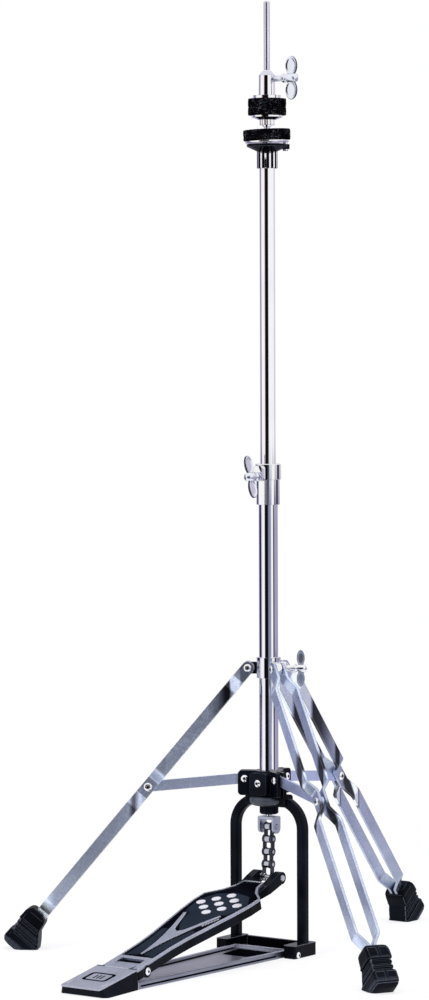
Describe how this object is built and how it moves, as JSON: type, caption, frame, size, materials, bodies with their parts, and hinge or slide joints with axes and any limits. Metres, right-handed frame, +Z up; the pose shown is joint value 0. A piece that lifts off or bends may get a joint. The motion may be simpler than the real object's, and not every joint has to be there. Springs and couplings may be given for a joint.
{
  "type": "hi-hat stand",
  "caption": "Folding hi-hat stand with foot pedal, pull rod, clutch and felts, on strap legs with rubber feet, no cymbals.",
  "frame": {"origin": "on the floor under the column axis, on the underside of the base channel", "axes": "+Z up along the column; -Y towards the player, along the pedal; the hoop lies in the XZ plane"},
  "size_m": [0.479, 0.5784, 0.952],
  "materials": {
    "chrome": "polished",
    "steel": "satin",
    "silver_paint": "metallic",
    "black_paint": "gloss",
    "black_plastic": "matte",
    "dark_inlay": "satin",
    "white_nylon": "matte",
    "felt": "fibrous",
    "rubber": "matte"
  },
  "bodies": {
    "stand": {"lower_tube": "chrome", "lower_end_cap": "black_plastic", "return_spring": "steel", "height_clamp": "chrome", "clamp_bushing": "white_nylon", "base_casting": "black_paint", "casting_screws": "chrome", "hoop": "black_paint", "base_channel": "black_paint", "base_plate_pins": "chrome", "base_plate": "silver_paint", "heel_base": "black_paint", "heel_plate": "silver_paint", "heel_hinge_pin": "chrome"},
    "height_wing": {"height_wing_bolt": "chrome"},
    "upper_column": {"upper_tube": "chrome", "rod_guide": "white_nylon", "seat_collar": "chrome", "seat_cup": "black_paint"},
    "seat": {"seat_washer": "chrome", "seat_felt": "felt"},
    "tilt_screw": {"tilt_screw": "chrome"},
    "clutch": {"clutch_body": "chrome", "clutch_sleeve": "chrome", "clutch_washer": "chrome", "clutch_upper_felt": "felt", "clutch_lower_felt": "felt", "clutch_lower_washer": "chrome", "clutch_nut": "chrome"},
    "clutch_wing": {"clutch_wing_bolt": "chrome"},
    "pull_rod": {"upper_pull_rod": "chrome", "lower_pull_rod": "chrome", "rod_coupling": "steel", "clevis": "chrome", "clevis_pin": "steel"},
    "chain": {"chain_inner_plates": "steel", "chain_outer_plates": "steel", "chain_rollers": "chrome", "chain_pins": "steel"},
    "pedal": {"footboard": "black_paint", "footboard_trim": "silver_paint", "footboard_inlay": "dark_inlay", "footboard_ridge": "silver_paint", "footboard_studs": "silver_paint", "toe_pin": "steel"},
    "leg_hub": {"leg_hub": "chrome", "leg_pins": "chrome"},
    "hub_wing": {"hub_wing_bolt": "chrome"},
    "left_leg": {"left_leg_straps": "chrome", "left_leg_rivets": "steel", "left_foot": "rubber"},
    "left_strut": {"left_strut": "chrome"},
    "right_leg": {"right_leg_straps": "chrome", "right_leg_rivets": "steel", "right_foot": "rubber"},
    "right_strut": {"right_strut": "chrome"},
    "rear_leg": {"rear_leg_straps": "chrome", "rear_leg_rivets": "steel", "rear_foot": "rubber"},
    "rear_strut": {"rear_strut": "chrome"}
  },
  "joints": [
    {"name": "pedal", "type": "hinge", "parent": "stand", "child": "pedal", "pos_m": [0, -0.231, 0.0147], "axis": [1, 0, 0], "range_deg": [-9, 0], "stiffness_Nm_per_rad": 14, "springref_deg": 17.19},
    {"name": "rod_slide", "type": "slide", "parent": "stand", "child": "pull_rod", "axis": [0, 0, 1], "range_m": [-0.0375, 0.0001], "deforming": ["return_spring"]},
    {"name": "chain_swing", "type": "hinge", "parent": "pull_rod", "child": "chain", "pos_m": [0, 0, 0.12671], "axis": [1, 0, 0], "range_deg": [-0.5, 8.5]},
    {"name": "height_adjust", "type": "slide", "parent": "stand", "child": "upper_column", "axis": [0, 0, 1], "range_m": [-0.13, 0.03]},
    {"name": "height_wing_turn", "type": "hinge", "parent": "stand", "child": "height_wing", "pos_m": [0, 0, 0.479], "axis": [0, -1, 0], "continuous": true},
    {"name": "seat_tilt", "type": "hinge", "parent": "upper_column", "child": "seat", "pos_m": [0, 0, 0.8113], "axis": [-0.5, 0.866, 0], "range_deg": [-0.8, 3.2]},
    {"name": "tilt_screw_travel", "type": "slide", "parent": "upper_column", "child": "tilt_screw", "axis": [0, 0, 1], "range_m": [-0.0012, 0.0004]},
    {"name": "clutch_slide", "type": "slide", "parent": "upper_column", "child": "clutch", "axis": [0, 0, 1], "range_m": [0, 0.03]},
    {"name": "clutch_wing_turn", "type": "hinge", "parent": "clutch", "child": "clutch_wing", "pos_m": [0, 0, 0.8744], "axis": [1, 0, 0], "continuous": true},
    {"name": "leg_fold", "type": "slide", "parent": "stand", "child": "leg_hub", "axis": [0, 0, 1], "range_m": [0, 0.123]},
    {"name": "hub_wing_turn", "type": "hinge", "parent": "leg_hub", "child": "hub_wing", "pos_m": [0, 0, 0.2862], "axis": [0.866, 0.5, 0], "continuous": true},
    {"name": "left_leg_fold", "type": "hinge", "parent": "leg_hub", "child": "left_leg", "pos_m": [-0.01793, -0.01035, 0.2867], "axis": [0.5, -0.866, 0], "range_deg": [-0.2, 21.02]},
    {"name": "left_strut_fold", "type": "hinge", "parent": "stand", "child": "left_strut", "pos_m": [-0.02087, -0.01205, 0.1753], "axis": [-0.5, 0.866, 0], "range_deg": [-0.2, 66.37]},
    {"name": "right_leg_fold", "type": "hinge", "parent": "leg_hub", "child": "right_leg", "pos_m": [0.01793, -0.01035, 0.2867], "axis": [0.5, 0.866, 0], "range_deg": [-0.2, 21.02]},
    {"name": "right_strut_fold", "type": "hinge", "parent": "stand", "child": "right_strut", "pos_m": [0.02087, -0.01205, 0.1753], "axis": [-0.5, -0.866, 0], "range_deg": [-0.2, 66.37]},
    {"name": "rear_leg_fold", "type": "hinge", "parent": "leg_hub", "child": "rear_leg", "pos_m": [0, 0.0207, 0.2867], "axis": [-1, 0, 0], "range_deg": [-0.2, 21.02]},
    {"name": "rear_strut_fold", "type": "hinge", "parent": "stand", "child": "rear_strut", "pos_m": [0, 0.0241, 0.1753], "axis": [1, 0, 0], "range_deg": [-0.2, 66.37]}
  ],
  "couplings": [
    {"joint": "rod_slide", "follows": "pedal", "m_per_rad": 0.23398},
    {"joint": "chain_swing", "follows": "pedal", "ratio": -0.84833},
    {"joint": "tilt_screw_travel", "follows": "seat_tilt", "m_per_rad": -0.0183},
    {"joint": "left_leg_fold", "follows": "leg_fold", "rad_per_m": 2.9404},
    {"joint": "left_strut_fold", "follows": "leg_fold", "rad_per_m": 9.3749},
    {"joint": "right_leg_fold", "follows": "leg_fold", "rad_per_m": 2.9404},
    {"joint": "right_strut_fold", "follows": "leg_fold", "rad_per_m": 9.3749},
    {"joint": "rear_leg_fold", "follows": "leg_fold", "rad_per_m": 2.9404},
    {"joint": "rear_strut_fold", "follows": "leg_fold", "rad_per_m": 9.3749}
  ]
}
